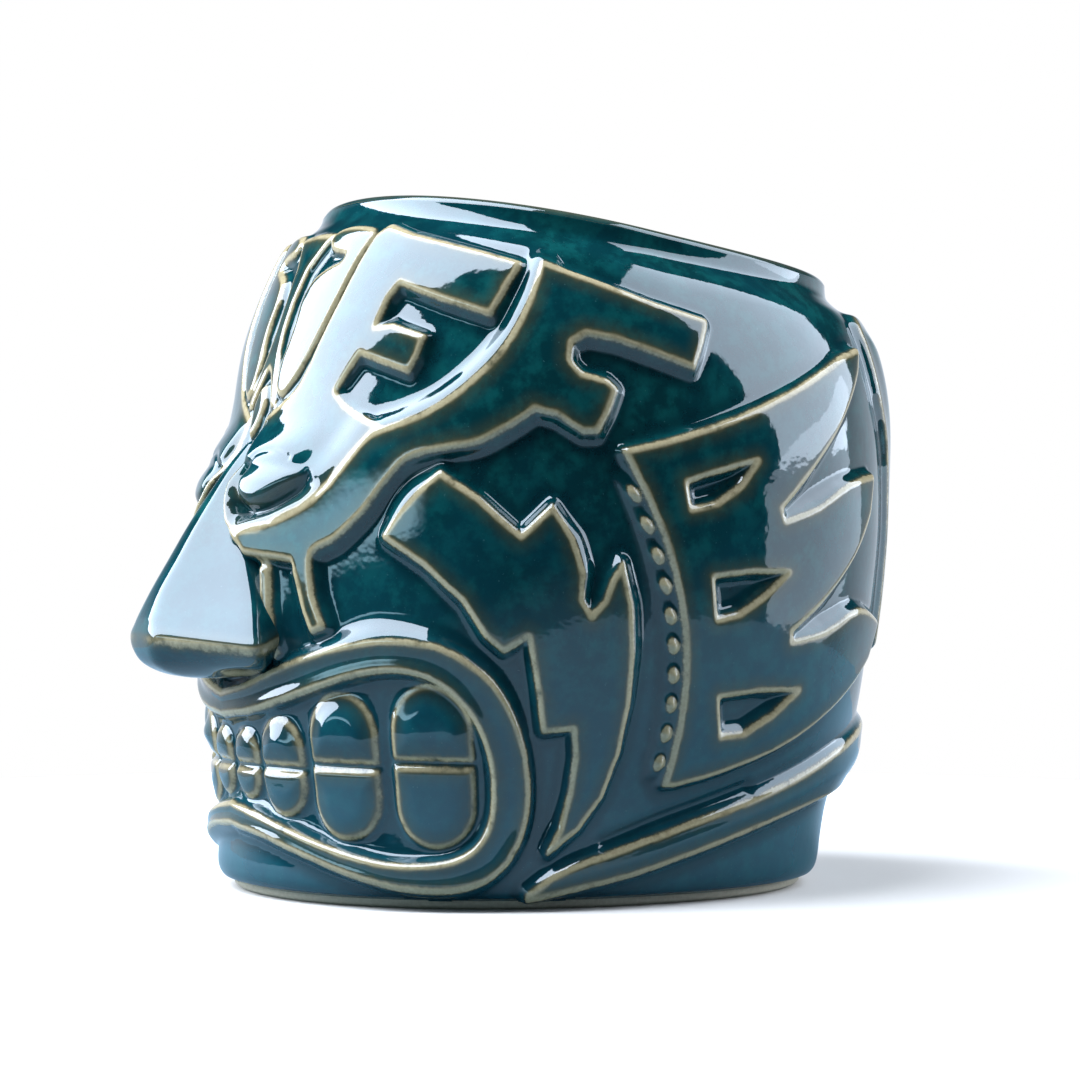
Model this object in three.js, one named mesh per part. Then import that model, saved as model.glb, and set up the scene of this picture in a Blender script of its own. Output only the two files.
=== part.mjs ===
// A slip-cast, glazed tiki-head mug. Millimetres, +Z up, face towards -Y, the head's left side towards +X.
// The head is a loft of rounded horizontal sections; every sculpted member is a raised pad that follows
// its surface. Pads are drawn in two surface coordinates: `s`, the distance round the head from the middle
// of the face (positive to the head's left), and `h`, the height up the wall before the rim's sweep.
import * as THREE from 'three';

// ---- driving dimensions ----
const AXIS_Y = 4.235;        // the loft axis stands behind the middle of the footprint, which counts the nose
const GIRTH_RADIUS = 46;     // s = GIRTH_RADIUS * angle
const WALL = 4.6;            // thickness of the cast wall
const RIM_HEIGHT = 88;       // wall height at the loft axis
const SWEEP_FALL = 0.175;    // the rim falls towards the nape
const SWEEP_CURL = 0.0014;   // and lifts again at the forehead
const SQUARE_FRONT = 2.05;   // fullness of the plan in front of the axis, 2 is an ellipse
const SQUARE_BACK = 2.3;     // and behind it
const BASE_LIFT = 1.2;       // the glazed base clears the table by this, the bare foot ring fills it
const FLOOR = 7.5;           // height of the cup floor
const GAP = 0.35;            // clearance under each pad
const RELIEF = 1.5;          // height of the carved pads over the wall
const LIP_RELIEF = 1.9;      // the lips stand a little higher
const TOOTH_RELIEF = 1.5;
const MAX_STEP = 7;          // longest facet edge on a pad

// ---- the wall: height, depth in front of the axis, depth behind it, half width ----
const WALL_STATIONS = [
  [1.2, 42.4, 36.9, 36.2], [1.9, 43.5, 38.0, 37.4], [3.4, 43.9, 38.5, 38.0], [7, 43.6, 39.0, 38.4],
  [12, 43.0, 40.0, 38.8], [18, 43.5, 43.0, 40.2], [24, 44.4, 44.4, 41.8], [32, 44.4, 45.4, 43.4],
  [42, 43.6, 46.6, 44.6], [52, 42.0, 47.4, 45.0], [62, 39.4, 47.5, 44.8], [70, 36.8, 47.2, 43.6],
  [76, 34.4, 46.4, 41.8], [80, 32.4, 45.2, 39.8], [82, 31.3, 44.0, 38.2], [83.4, 30.1, 42.5, 36.4],
  [85, 28.3, 41.4, 34.8], [86.6, 27.1, 41.3, 34.6], [88, 27.0, 41.3, 34.6],
];
const ROUND = 60;            // facets round the head

// ---- surface ----
// A smooth curve through the stations that never overshoots them.
function stationAt(height, column) {
  const rows = WALL_STATIONS;
  const last = rows.length - 1;
  const clamped = Math.min(Math.max(height, rows[0][0]), rows[last][0]);
  let i = 0;
  while (i < last - 1 && rows[i + 1][0] < clamped) i += 1;
  const slope = (k) => (rows[k + 1][column] - rows[k][column]) / (rows[k + 1][0] - rows[k][0]);
  const tangent = (k) => {
    if (k === 0) return slope(0);
    if (k === last) return slope(last - 1);
    const before = slope(k - 1);
    const after = slope(k);
    return before * after <= 0 ? 0 : (2 * before * after) / (before + after);
  };
  const width = rows[i + 1][0] - rows[i][0];
  const t = (clamped - rows[i][0]) / width;
  const keep = (1 + 2 * t) * (1 - t) * (1 - t);
  return keep * rows[i][column] + (1 - keep) * rows[i + 1][column]
    + width * (t * (1 - t) * (1 - t) * tangent(i) - t * t * (1 - t) * tangent(i + 1));
}

const sweep = (y, height) => (SWEEP_CURL * y * y - SWEEP_FALL * y) * (height / RIM_HEIGHT) ** 2;

// A point of the wall at an angle round the head, moved in by `inset` measured in plan.
function wallPoint(angle, height, inset = 0) {
  const across = Math.abs(Math.sin(angle));
  const along = Math.abs(Math.cos(angle));
  const front = Math.cos(angle) > 0;
  const power = front ? SQUARE_FRONT : SQUARE_BACK;
  const depth = stationAt(height, front ? 1 : 2) - inset;
  const half = stationAt(height, 3) - inset;
  const radius = ((across / half) ** power + (along / depth) ** power) ** (-1 / power);
  const y = -radius * Math.cos(angle);
  return new THREE.Vector3(radius * Math.sin(angle), y + AXIS_Y, height + sweep(y, height));
}

// A point standing `lift` clear of the wall, square to it.
function padPoint(s, h, lift) {
  const angle = s / GIRTH_RADIUS;
  const at = wallPoint(angle, h);
  const round = wallPoint(angle + 0.01, h).sub(wallPoint(angle - 0.01, h));
  const up = wallPoint(angle, h + 0.3).sub(wallPoint(angle, h - 0.3));
  return at.addScaledVector(round.cross(up).normalize(), lift);
}

// The middle of the face, from the lips to the brows, stands forward of the head's round.
const SWELL = 2.6;
const ease = (t) => {
  const u = Math.min(Math.max(t, 0), 1);
  return u ** 3 * (u * (6 * u - 15) + 10);
};
const swell = (s, h) => SWELL * (1 - ease((s - 6) / 20)) * ease((h - 27) / 8) * (1 - ease((h - 47) / 14));

// ---- builders ----
function geometryOf(points, triangles) {
  const geometry = new THREE.BufferGeometry();
  geometry.setAttribute('position', new THREE.Float32BufferAttribute(points.flatMap((p) => p.toArray()), 3));
  geometry.setIndex(triangles.flat());
  geometry.computeVertexNormals();
  return geometry;
}

// Rings of equal length, joined in order; each end is closed to its own middle.
function loftRings(rings) {
  const points = rings.flat();
  const count = rings[0].length;
  const triangles = [];
  for (let k = 0; k + 1 < rings.length; k += 1) {
    for (let i = 0; i < count; i += 1) {
      const a = k * count + i;
      const b = k * count + ((i + 1) % count);
      triangles.push([a, b, b + count], [a, b + count, a + count]);
    }
  }
  const closeEnd = (ring, base, flip) => {
    const middle = ring.reduce((sum, p) => sum.add(p), new THREE.Vector3()).divideScalar(count);
    points.push(middle);
    for (let i = 0; i < count; i += 1) {
      const a = base + i;
      const b = base + ((i + 1) % count);
      triangles.push(flip ? [points.length - 1, b, a] : [points.length - 1, a, b]);
    }
  };
  closeEnd(rings[0], 0, true);
  closeEnd(rings[rings.length - 1], (rings.length - 1) * count, false);
  return geometryOf(points, triangles);
}

// Splits every long edge at its middle until the pad can follow the wall.
function refine(flat, faces, maxStep) {
  const points = flat.map((p) => p.clone());
  let current = faces;
  let split = true;
  while (split) {
    split = false;
    const middles = new Map();
    const middle = (a, b) => {
      const reach = points[a].clone().sub(points[b]);
      if (Math.hypot(reach.x, 0.6 * reach.y) <= maxStep) return -1;
      const key = a < b ? `${a}_${b}` : `${b}_${a}`;
      if (!middles.has(key)) {
        middles.set(key, points.length);
        points.push(points[a].clone().add(points[b]).multiplyScalar(0.5));
      }
      return middles.get(key);
    };
    const next = [];
    for (const [a, b, c] of current) {
      const ab = middle(a, b);
      const bc = middle(b, c);
      const ca = middle(c, a);
      const cuts = [ab, bc, ca].filter((m) => m >= 0).length;
      if (cuts > 0) split = true;
      if (cuts === 0) next.push([a, b, c]);
      else if (cuts === 3) next.push([a, ab, ca], [ab, b, bc], [ca, bc, c], [ab, bc, ca]);
      else if (cuts === 2) {
        if (ab < 0) next.push([c, ca, bc], [a, b, bc], [a, bc, ca]);
        else if (bc < 0) next.push([a, ab, ca], [ab, b, c], [ab, c, ca]);
        else next.push([b, bc, ab], [a, ab, bc], [a, bc, c]);
      } else if (ab >= 0) next.push([a, ab, c], [ab, b, c]);
      else if (bc >= 0) next.push([a, b, bc], [a, bc, c]);
      else next.push([b, c, ca], [b, ca, a]);
    }
    current = next;
  }
  return { points, faces: current };
}

// A raised pad: an outline in (s, h), holes cut through it, and its relief over the face at each point.
function pad(outline, { holes = [], relief = () => RELIEF, mirrored = false, maxStep = MAX_STEP } = {}) {
  const side = mirrored ? -1 : 1;
  const loop = (list, clockwise) => {
    const turned = list.map(([s, h]) => new THREE.Vector2(side * s, h));
    return THREE.ShapeUtils.isClockWise(turned) === clockwise ? turned : turned.reverse();
  };
  const outer = loop(outline, false);
  const inner = holes.map((hole) => loop(hole, true));
  const flat = [outer, ...inner].flat();
  const mesh = refine(flat, THREE.ShapeUtils.triangulateShape(outer, inner), maxStep);
  const count = mesh.points.length;
  const lift = (s, h) => relief(s, h) + swell(s, h);
  const top = mesh.points.map((p) => padPoint(p.x, p.y, lift(Math.abs(p.x), p.y)));
  const under = mesh.points.map((p) => padPoint(p.x, p.y, GAP));
  const triangles = mesh.faces.flatMap(([a, b, c]) => [[a, b, c], [a + count, c + count, b + count]]);
  const edges = new Set(mesh.faces.flatMap(([a, b, c]) => [`${a}_${b}`, `${b}_${c}`, `${c}_${a}`]));
  for (const edge of edges) {
    const [a, b] = edge.split('_').map(Number);
    if (!edges.has(`${b}_${a}`)) triangles.push([b, a, a + count], [b, a + count, b + count]);
  }
  return geometryOf([...top, ...under], triangles);
}

// A pad laid out as rows of points across it, for members with a shaped top. Each point is given as its
// place on the wall and either its lift or the point itself.
function quilt(rows, columns, at) {
  const top = [];
  const under = [];
  for (let i = 0; i <= rows; i += 1) {
    for (let j = 0; j <= columns; j += 1) {
      const [s, h, crown] = at(i / rows, j / columns);
      top.push(crown.isVector3 ? crown : padPoint(s, h, crown));
      under.push(padPoint(s, h, GAP));
    }
  }
  const count = top.length;
  const wide = columns + 1;
  const triangles = [];
  const wall = (a, b) => triangles.push([b, a, a + count], [b, a + count, b + count]);
  for (let i = 0; i < rows; i += 1) {
    for (let j = 0; j < columns; j += 1) {
      const a = i * wide + j;
      triangles.push([a, a + 1, a + wide + 1], [a, a + wide + 1, a + wide]);
      triangles.push([a + count, a + wide + 1 + count, a + 1 + count]);
      triangles.push([a + count, a + wide + count, a + wide + 1 + count]);
    }
    wall((i + 1) * wide, i * wide);
    wall(i * wide + columns, (i + 1) * wide + columns);
  }
  for (let j = 0; j < columns; j += 1) {
    wall(j, j + 1);
    wall(rows * wide + j + 1, rows * wide + j);
  }
  return geometryOf([...top, ...under], triangles);
}

// A smooth closed outline through a few points.
function smoothLoop(points, count) {
  const curve = new THREE.SplineCurve([...points, points[0]].map(([s, h]) => new THREE.Vector2(s, h)));
  return curve.getPoints(count).slice(0, count).map((p) => [p.x, p.y]);
}

// A smooth open run through a few points.
function smoothRun(points, count) {
  const curve = new THREE.SplineCurve(points.map(([s, h]) => new THREE.Vector2(s, h)));
  return curve.getPoints(count).map((p) => [p.x, p.y]);
}

const mirrorRun = (run) => run.map(([s, h]) => [-s, h]).reverse();

// ---- head shell: base, wall, cove, rounded lip, inner wall, floor ----
const LIP_SHARE = 0.37;      // half of the rounded lip's width, as a share of the wall
const LIP_DROP = 1.2;        // height of the lip's round
const LIP_FOOT = 86.6;       // where the lip's round meets the inner wall
function headShell() {
  const ring = (height, inset, drop = 0) => Array.from({ length: ROUND }, (_, i) => {
    const p = wallPoint((i / ROUND) * 2 * Math.PI, height, inset);
    p.z -= drop;
    return p;
  });
  const outer = [1.9, 3.4, 7, 12, 18, 25, 33, 42, 51, 60, 67, 73, 78, 82, 83.4, 85, 86.8];
  const inner = [84, 78, 68, 54, 40, 26, 14];
  const rings = [ring(BASE_LIFT, 3), ring(BASE_LIFT, 0.4), ...outer.map((height) => ring(height, 0))];
  for (const turn of [0.25, 0.5, 0.75]) {
    const lean = Math.PI * turn;
    rings.push(ring(RIM_HEIGHT, WALL * LIP_SHARE * (1 - Math.cos(lean)), LIP_DROP * (1 - Math.sin(lean))));
  }
  rings.push(ring(LIP_FOOT, 2 * WALL * LIP_SHARE), ...inner.map((height) => ring(height, WALL)));
  rings.push(ring(FLOOR + 2, WALL + 1.4), ring(FLOOR, WALL + 5));
  return loftRings(rings);
}

// ---- foot: the bare clay ring the glaze is wiped from ----
const FOOT_TOP = BASE_LIFT - GAP;
const FOOT_SECTION = [[3.6, 0], [1.6, 0], [1.0, 0.45], [1.0, FOOT_TOP], [4.4, FOOT_TOP], [4.4, 0.45]];
function footRing() {
  const points = FOOT_SECTION.flatMap(([inset, z]) => Array.from({ length: ROUND }, (_, i) => {
    const p = wallPoint((i / ROUND) * 2 * Math.PI, BASE_LIFT, inset);
    p.z = z;
    return p;
  }));
  const triangles = [];
  for (let k = 0; k < FOOT_SECTION.length; k += 1) {
    for (let i = 0; i < ROUND; i += 1) {
      const next = (i + 1) % ROUND;
      const up = ((k + 1) % FOOT_SECTION.length) * ROUND;
      triangles.push([k * ROUND + i, k * ROUND + next, up + next], [k * ROUND + i, up + next, up + i]);
    }
  }
  return geometryOf(points, triangles);
}

// ---- nose: a flat-ridged wedge, widest and deepest at the nostrils ----
// Down the ridge and round under the tip: the ridge's depth and height, half width of its flat front, the
// flank's edge (half width, depth), and where the side meets the face (s, h).
const NOSE = [
  [42.5, 60.0, 0.6, 1.3, 42.1, 1.2, 56.2], [45.2, 56.8, 0.8, 2.1, 44.0, 2.0, 53.4],
  [48.0, 52.8, 1.0, 3.1, 45.8, 2.8, 49.8], [50.6, 49.2, 1.3, 4.3, 46.8, 4.0, 46.6],
  [53.0, 45.0, 1.7, 8.2, 46.9, 7.8, 41.8], [55.2, 41.0, 2.1, 12.0, 47.0, 10.6, 38.6],
  [57.1, 37.6, 2.4, 14.4, 47.4, 11.0, 35.6], [57.47, 35.4, 2.5, 15.0, 47.4, 11.0, 33.6],
  [57.1, 33.0, 2.4, 14.4, 46.8, 10.6, 31.8], [55.4, 30.4, 2.1, 11.4, 46.2, 9.2, 30.6],
  [51.4, 29.4, 1.7, 7.6, 45.8, 6.8, 29.8], [46.0, 29.6, 1.2, 3.4, 45.6, 3.4, 29.0]];
const NOSE_FOOT = 0.5;        // the nose's sides end square this far off its flat back
const NOSE_PLACES = [1, 0.62, 0.14, -0.14, -0.62, -1];  // side, edge and front corners over the base's width
function nose() {
  return quilt(NOSE.length - 1, NOSE_PLACES.length - 1, (along, over) => {
    const [depth, z, front, edge, edgeDepth, s, h] = NOSE[Math.round(along * (NOSE.length - 1))];
    const place = NOSE_PLACES[Math.round(over * (NOSE_PLACES.length - 1))];
    const side = Math.sign(place);
    const share = Math.abs(place);
    if (share === 1) return [side * s, h, GAP + NOSE_FOOT];
    const [x, y] = share > 0.5 ? [edge, edgeDepth] : [front, depth];
    return [place * s, h, new THREE.Vector3(side * x, AXIS_Y - y, z)];
  });
}

// ---- forehead ornament between the brows ----
const STEM_HALF = [[0, 82], [7.4, 81.8], [5.2, 80], [2.6, 77.5], [1.7, 73.5], [1.6, 70], [2.2, 67.2],
  [3.1, 65], [4.3, 62.4], [5.2, 60.8], [3.8, 60.6], [2.4, 62.9], [1.1, 64.6], [0, 65.2]];
const LEAF = smoothLoop([[20.4, 81.8], [18.6, 78.4], [16.6, 74], [14.4, 70], [12, 66.2], [9.4, 63.4],
  [6.8, 61.9], [4.9, 62.9], [4.4, 65.6], [5.2, 68.2], [5.6, 70.6], [5.4, 73.4], [7, 75.9], [10.4, 77.3],
  [14.2, 78.2], [14, 79.3], [9.6, 79.9], [7.6, 80.9], [9.4, 82.2], [14.4, 82.6]], 40);
const almond = (s0, h0, across, tall, count) => Array.from({ length: count }, (_, i) => {
  const turn = (i / count) * 2 * Math.PI;
  return [s0 + across * Math.cos(turn) * Math.abs(Math.cos(turn)) ** 0.15, h0 + tall * Math.sin(turn)];
});

// ---- brows ----
const BROW_KEY = [[24.4, 82.4], [30, 81.4], [38, 80.5], [44, 79.8], [49.4, 79.1], [47.4, 76], [45.3, 72.4],
  [38, 73.7], [30.2, 75.3], [28.4, 73.4], [26.9, 69.9], [30, 70.3], [35.6, 69.2], [34.6, 66.8], [33.3, 65],
  [28, 66.1], [24.5, 66.8], [22, 64.2], [20.2, 62.3], [22.2, 60.9], [25, 59.8], [27.4, 59.0], [28.4, 58.3],
  [25.1, 55.2], [21.7, 51.8], [17.7, 49.0], [12.8, 46.9], [7.6, 45.8], [5.8, 46.6], [4.4, 49.2], [3.4, 52.4],
  [2.9, 56], [3.4, 59], [6.4, 60.3], [9.2, 61.5], [11.4, 62.9], [13.6, 65.4], [16, 69.3], [18.2, 73.3],
  [20.2, 77.7], [22, 81.2]];
const BROW_SWEEP = [
  ...smoothRun([[52.4, 79.4], [50.6, 74.5], [47.6, 69.2], [43.4, 64.8], [38.4, 61.2], [33, 58.9],
    [28.6, 57.4], [25.4, 54.6], [22, 51.2], [18, 48.4], [13, 46.3], [7.4, 45.1]], 22),
  ...smoothRun([[9.6, 42.9], [13, 42.6], [17.2, 42.4]], 3),
  ...smoothRun([[18.4, 39.4], [19.4, 36.6], [20.6, 34.6]], 3), [22.2, 35],
  ...smoothRun([[20.6, 38.6], [20.2, 43.2], [24, 45.3], [28.2, 48.6], [31.2, 52], [34.6, 55], [40, 56.4],
    [44, 57.3], [48.2, 59.6], [51.4, 61.8]], 16),
  [54, 61.4], [57.4, 59.7], [59.2, 59.9], [60.6, 62.4], [61.7, 65.2], [60.6, 66.1], [57.4, 66.6],
  [55.9, 68], [56.2, 70.2], [58.2, 71.4], [62, 71.2], [67, 70.2], [72.6, 69], [74.2, 72], [75.8, 75.4],
  [68, 76.4], [59, 78.2]];

// ---- eyes: a flattened almond ball, set in an opening of the brow ----
const EYE = [10.9, 51.4, 6.4, 2.9];
const EYE_CLEARANCE = 0.5;

// ---- cheek bands: a forked lightning flash ----
const CHEEK_BAND = [[31.3, 45.7], [33, 47.8], [36, 51], [39, 53.6], [44, 51], [49.5, 46.8], [53.5, 50.6],
  [56, 46.8], [57.4, 42.5], [57.2, 39.5], [58.4, 37.6], [60, 39.5], [61, 42], [62.4, 44.2], [63.6, 39],
  [64, 33], [63.8, 27], [62.8, 20.5], [60.8, 15], [57.5, 10.8], [53, 7.6], [54.8, 11], [56, 15.5],
  [56.6, 20], [56.3, 23.7], [52.2, 23.2], [51.6, 28], [50.4, 34.8], [47.2, 32.9], [45, 34.6], [42, 38.8],
  [37, 42.7]];

// ---- nasolabial folds ----
const SMILE_FOLD = [[12.2, 41.6], [12.6, 38.6], [12.9, 35.6], [13.3, 33], [14.1, 31.8], [15, 32.2],
  [14.7, 34.6], [14.4, 37], [14, 39.6], [13.6, 41.6]];

// ---- ears: a feathered panel with three tapering slots, and a row of beads down its front edge ----
const beadLine = (h) => 70.5 - 0.0105 * (h - 28) ** 2;
const BEAD_TOP = 54.6;
const BEAD_FOOT = 17.2;
const EAR_FRONT = Array.from({ length: 9 }, (_, i) => {
  const h = 16.2 + (56.4 - 16.2) * (i / 8);
  return [beadLine(h) + 1.4, h];
});
const EAR_PANEL = [...EAR_FRONT,
  ...smoothRun([[62.6, 57.9], [70, 60.2], [80, 64], [90, 68.6], [100, 73.6], [106.8, 75.6]], 8),
  ...smoothRun([[104, 71.8], [98, 65], [92, 58.6], [85.6, 52.2]], 5),
  ...smoothRun([[86.2, 50.6], [92, 52.6], [99, 56.2], [106, 57.8]], 5),
  ...smoothRun([[104.6, 52.4], [100.6, 46.4], [95, 41], [88.4, 36.2]], 5),
  ...smoothRun([[88.6, 34.8], [95, 36], [103, 39], [112, 37.2]], 5),
  ...smoothRun([[109, 32], [101, 26.4], [91, 21.2], [80, 17.8], [72.2, 16.2]], 8)];
const EAR_SLOTS = [
  [[71, 54.7], [76, 56.4], [81.6, 58.2], [79, 54.8], [75.4, 52.4], [71.6, 51.4]],
  [[75.2, 42.9], [81, 43.7], [87, 43.9], [83, 40.6], [79.4, 38.4], [76, 37.6]],
  [[77.4, 27.6], [84, 28.3], [91, 28.3], [87, 25.2], [82.6, 22.9], [78.6, 22.6]],
];

// ---- nape: a belt that runs round the back from cheek to cheek ----
const HALF_ROUND = Math.PI * GIRTH_RADIUS;
const NAPE_CREST = [[56, 5.6], [66, 8.4], [76, 11], [86, 13.5], [96, 16.4], [106, 19.6], [118, 22.4],
  [132, 23.8], [HALF_ROUND, 24.2]];
const NAPE_FOOT = [[56, 3.0], [66, 4.5], [76, 6.8], [86, 9.2], [96, 11.4], [106, 13], [118, 14],
  [132, 14.4], [HALF_ROUND, 14.5]];
const NAPE_STEPS = 36;
function napeBelt() {
  const crest = [...NAPE_CREST, ...mirrorRun(NAPE_CREST).slice(1).map(([s, h]) => [s + 2 * HALF_ROUND, h])];
  const foot = [...NAPE_FOOT, ...mirrorRun(NAPE_FOOT).slice(1).map(([s, h]) => [s + 2 * HALF_ROUND, h])];
  const high = smoothRun(crest, NAPE_STEPS);
  const low = smoothRun(foot, NAPE_STEPS);
  return quilt(4, NAPE_STEPS, (up, along) => {
    const k = Math.round(along * NAPE_STEPS);
    const mix = (a, b) => a + (b - a) * up;
    return [mix(low[k][0], high[k][0]), mix(low[k][1], high[k][1]), 0.7 + 0.9 * Math.sin(Math.PI * up)];
  });
}

// ---- back of the head: broad hair locks ----
const SIDE_LOCK = smoothLoop([[113, 79.6], [121, 81], [127, 77], [129.6, 67], [128.6, 55], [125, 44],
  [118.6, 33.4], [118, 41], [119, 50], [117.4, 60], [113, 69]], 24);
const BACK_LOCK_HALF = smoothRun([[0, 81.6], [5.6, 77.6], [9.6, 68], [10.6, 56], [8.4, 43], [4.4, 34],
  [0, 28.6]], 12);

// ---- mouth ----
const LIP_OUTER = smoothRun([[0, 26.3], [7, 27.5], [13.5, 29.4], [20, 31.4], [26, 32.9], [32, 33.7],
  [38, 33.4], [42.6, 31.6], [46.4, 28.4], [49, 23.6], [50.2, 18], [50, 12.4], [48.2, 7.8], [45, 4.6],
  [40.6, 3.2], [35, 3], [29, 3.6], [23, 4.9], [16, 6.8], [8, 8.5], [0, 9.3]], 26);
const LIP_INNER = smoothRun([[0, 23.4], [8, 24.2], [14, 25.6], [20, 27.3], [26, 29], [31, 30], [36, 29.8],
  [40, 28], [43.2, 24.6], [45, 20], [45.3, 14.6], [44.2, 10.2], [41.4, 7.4], [37, 6.2], [31, 6], [25, 6.9],
  [18, 8.6], [12, 10.2], [6, 11.4], [0, 12.3]], 24);
const closeAcross = (run) => [...run, ...mirrorRun(run).slice(1, -1)];

// Each tooth column: middle, half width, foot of the lower tooth, line of the bite, top of the upper tooth.
const TEETH = [[4.1, 3.1, 13.2, 17.3, 21.6], [12.8, 4.2, 11.4, 17.4, 23.5], [24, 5.2, 8.9, 18.2, 27],
  [37.2, 5.5, 8.2, 18.9, 28.4]];
const BITE_GAP = 0.5;
function tooth(column, upper, mirrored) {
  const [middle, half, foot, bite, top] = column;
  const flat = upper ? bite + BITE_GAP : bite - BITE_GAP;
  const end = upper ? top : foot;
  const tall = end - flat;
  const sign = Math.sign(tall);
  const bend = Math.min(half, Math.abs(tall) * 0.7);
  const outline = [[middle - half, flat], [middle, flat], [middle + half, flat]];
  for (let i = 0; i <= 8; i += 1) {
    const turn = (i / 8) * Math.PI;
    outline.push([middle + half * Math.cos(turn), end - sign * bend * (1 - Math.sin(turn))]);
  }
  const crown = (s) => TOOTH_RELIEF - 0.7 * ((s - middle) / half) ** 2;
  return pad(outline, { relief: crown, mirrored, maxStep: 3.4 });
}

// ---- bead strips ----
const BEADS = 10;
function beadStrip(mirrored) {
  const side = mirrored ? -1 : 1;
  return quilt(BEADS * 4, 2, (along, over) => {
    const h = BEAD_FOOT + along * (BEAD_TOP - BEAD_FOOT);
    const dome = Math.max(0, Math.sin(Math.PI * BEADS * along) ** 2 - 0.1);
    const across = 1 - (2 * over - 1) ** 2;
    return [side * (beadLine(h) - 1.2 + 2.2 * (mirrored ? 1 - over : over)), h, 0.8 + 1.1 * dome * across];
  });
}

// ---- assembly ----
const mug = new THREE.Group();
mug.name = 'tiki_mug';
const GLAZE = { color: 0x0f4650, roughness: 0.12, metalness: 0 };
const BARE_CLAY = { color: 0xc9b391, roughness: 0.9, metalness: 0 };
function add(name, geometry, finish = GLAZE) {
  const mesh = new THREE.Mesh(geometry, new THREE.MeshStandardMaterial(finish));
  mesh.name = name;
  mesh.material.name = finish === GLAZE ? 'glaze_teal' : 'bare_clay';
  mug.add(mesh);
}

add('head_shell', headShell());
add('foot_ring', footRing(), BARE_CLAY);
add('nose', nose());
add('forehead_stem', pad([...STEM_HALF, ...mirrorRun(STEM_HALF).slice(1, -1)], { maxStep: 4 }));
add('forehead_almond', pad(almond(0, 60, 1.6, 2.9, 12)));
add('lips', pad(closeAcross(LIP_OUTER), { holes: [closeAcross(LIP_INNER)], relief: () => LIP_RELIEF }));
add('nape_belt', napeBelt());
add('hair_lock_back', pad([...BACK_LOCK_HALF, ...mirrorRun(BACK_LOCK_HALF).slice(1, -1)]
  .map(([s, h]) => [HALF_ROUND + s, h]), { maxStep: 5 }));
for (const [side, mirrored] of [['left', false], ['right', true]]) {
  add(`forehead_leaf_${side}`, pad(LEAF, { mirrored }));
  const [s0, h0, across, tall] = EYE;
  const opening = almond(s0, h0, across + EYE_CLEARANCE, tall + EYE_CLEARANCE, 16);
  add(`brow_key_${side}`, pad(BROW_KEY, { holes: [opening], mirrored, maxStep: 5 }));
  add(`brow_sweep_${side}`, pad(BROW_SWEEP, { mirrored, maxStep: 5 }));
  const ball = (s, h) => 2.9 - 1.8 * Math.min(1, ((s - s0) / across) ** 2 + ((h - h0) / tall) ** 2);
  add(`eye_${side}`, pad(almond(s0, h0, across, tall, 20), { relief: ball, mirrored, maxStep: 2.5 }));
  add(`cheek_band_${side}`, pad(CHEEK_BAND, { mirrored }));
  add(`smile_fold_${side}`, pad(SMILE_FOLD, { relief: () => 0.9, mirrored }));
  add(`ear_panel_${side}`, pad(EAR_PANEL, { holes: EAR_SLOTS, mirrored }));
  add(`bead_strip_${side}`, beadStrip(mirrored));
  add(`hair_lock_${side}`, pad(SIDE_LOCK, { mirrored, maxStep: 4.5 }));
  TEETH.forEach((column, i) => {
    add(`tooth_upper_${side}_${i + 1}`, tooth(column, true, mirrored));
    add(`tooth_lower_${side}_${i + 1}`, tooth(column, false, mirrored));
  });
}

export default mug;
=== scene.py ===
"""The looks of the tiki mug: every carved member in fine mesh under one broken teal glaze."""

import math

import bpy
import numpy as np
from mathutils import Matrix, Vector


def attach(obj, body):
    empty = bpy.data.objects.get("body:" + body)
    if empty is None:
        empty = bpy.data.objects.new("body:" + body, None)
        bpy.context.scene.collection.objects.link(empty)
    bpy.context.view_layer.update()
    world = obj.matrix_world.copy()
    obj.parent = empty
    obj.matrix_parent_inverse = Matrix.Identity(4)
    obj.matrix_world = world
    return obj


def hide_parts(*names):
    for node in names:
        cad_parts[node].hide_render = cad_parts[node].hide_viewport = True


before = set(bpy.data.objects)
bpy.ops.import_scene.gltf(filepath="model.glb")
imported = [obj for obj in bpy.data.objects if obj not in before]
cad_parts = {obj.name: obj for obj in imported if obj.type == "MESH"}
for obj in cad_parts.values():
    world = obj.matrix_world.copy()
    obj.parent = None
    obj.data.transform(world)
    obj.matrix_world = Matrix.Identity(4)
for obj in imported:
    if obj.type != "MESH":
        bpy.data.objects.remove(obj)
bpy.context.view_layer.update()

# ---------------------------------------------------------------- the wall (millimetres)
AXIS_Y = 4.235          # the loft axis stands behind the middle of the footprint
GIRTH_RADIUS = 46.0     # s = GIRTH_RADIUS * angle round the head
HALF_ROUND = math.pi * GIRTH_RADIUS
WALL = 4.6
RIM_HEIGHT = 88.0       # up the wall, before the sweep
SWEEP_FALL = 0.175      # the rim's slope from front to back
SWEEP_CURL = 0.0014     # and its dish
SQUARE_FRONT = 2.05     # the plan's superellipse powers: 2 is an ellipse, more is squarer
SQUARE_BACK = 2.3
BASE_LIFT = 1.2         # the glazed underside stands this far off the table
FLOOR = 7.5             # the cup's floor inside
FLOOR_FILLET = 4.2
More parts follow.
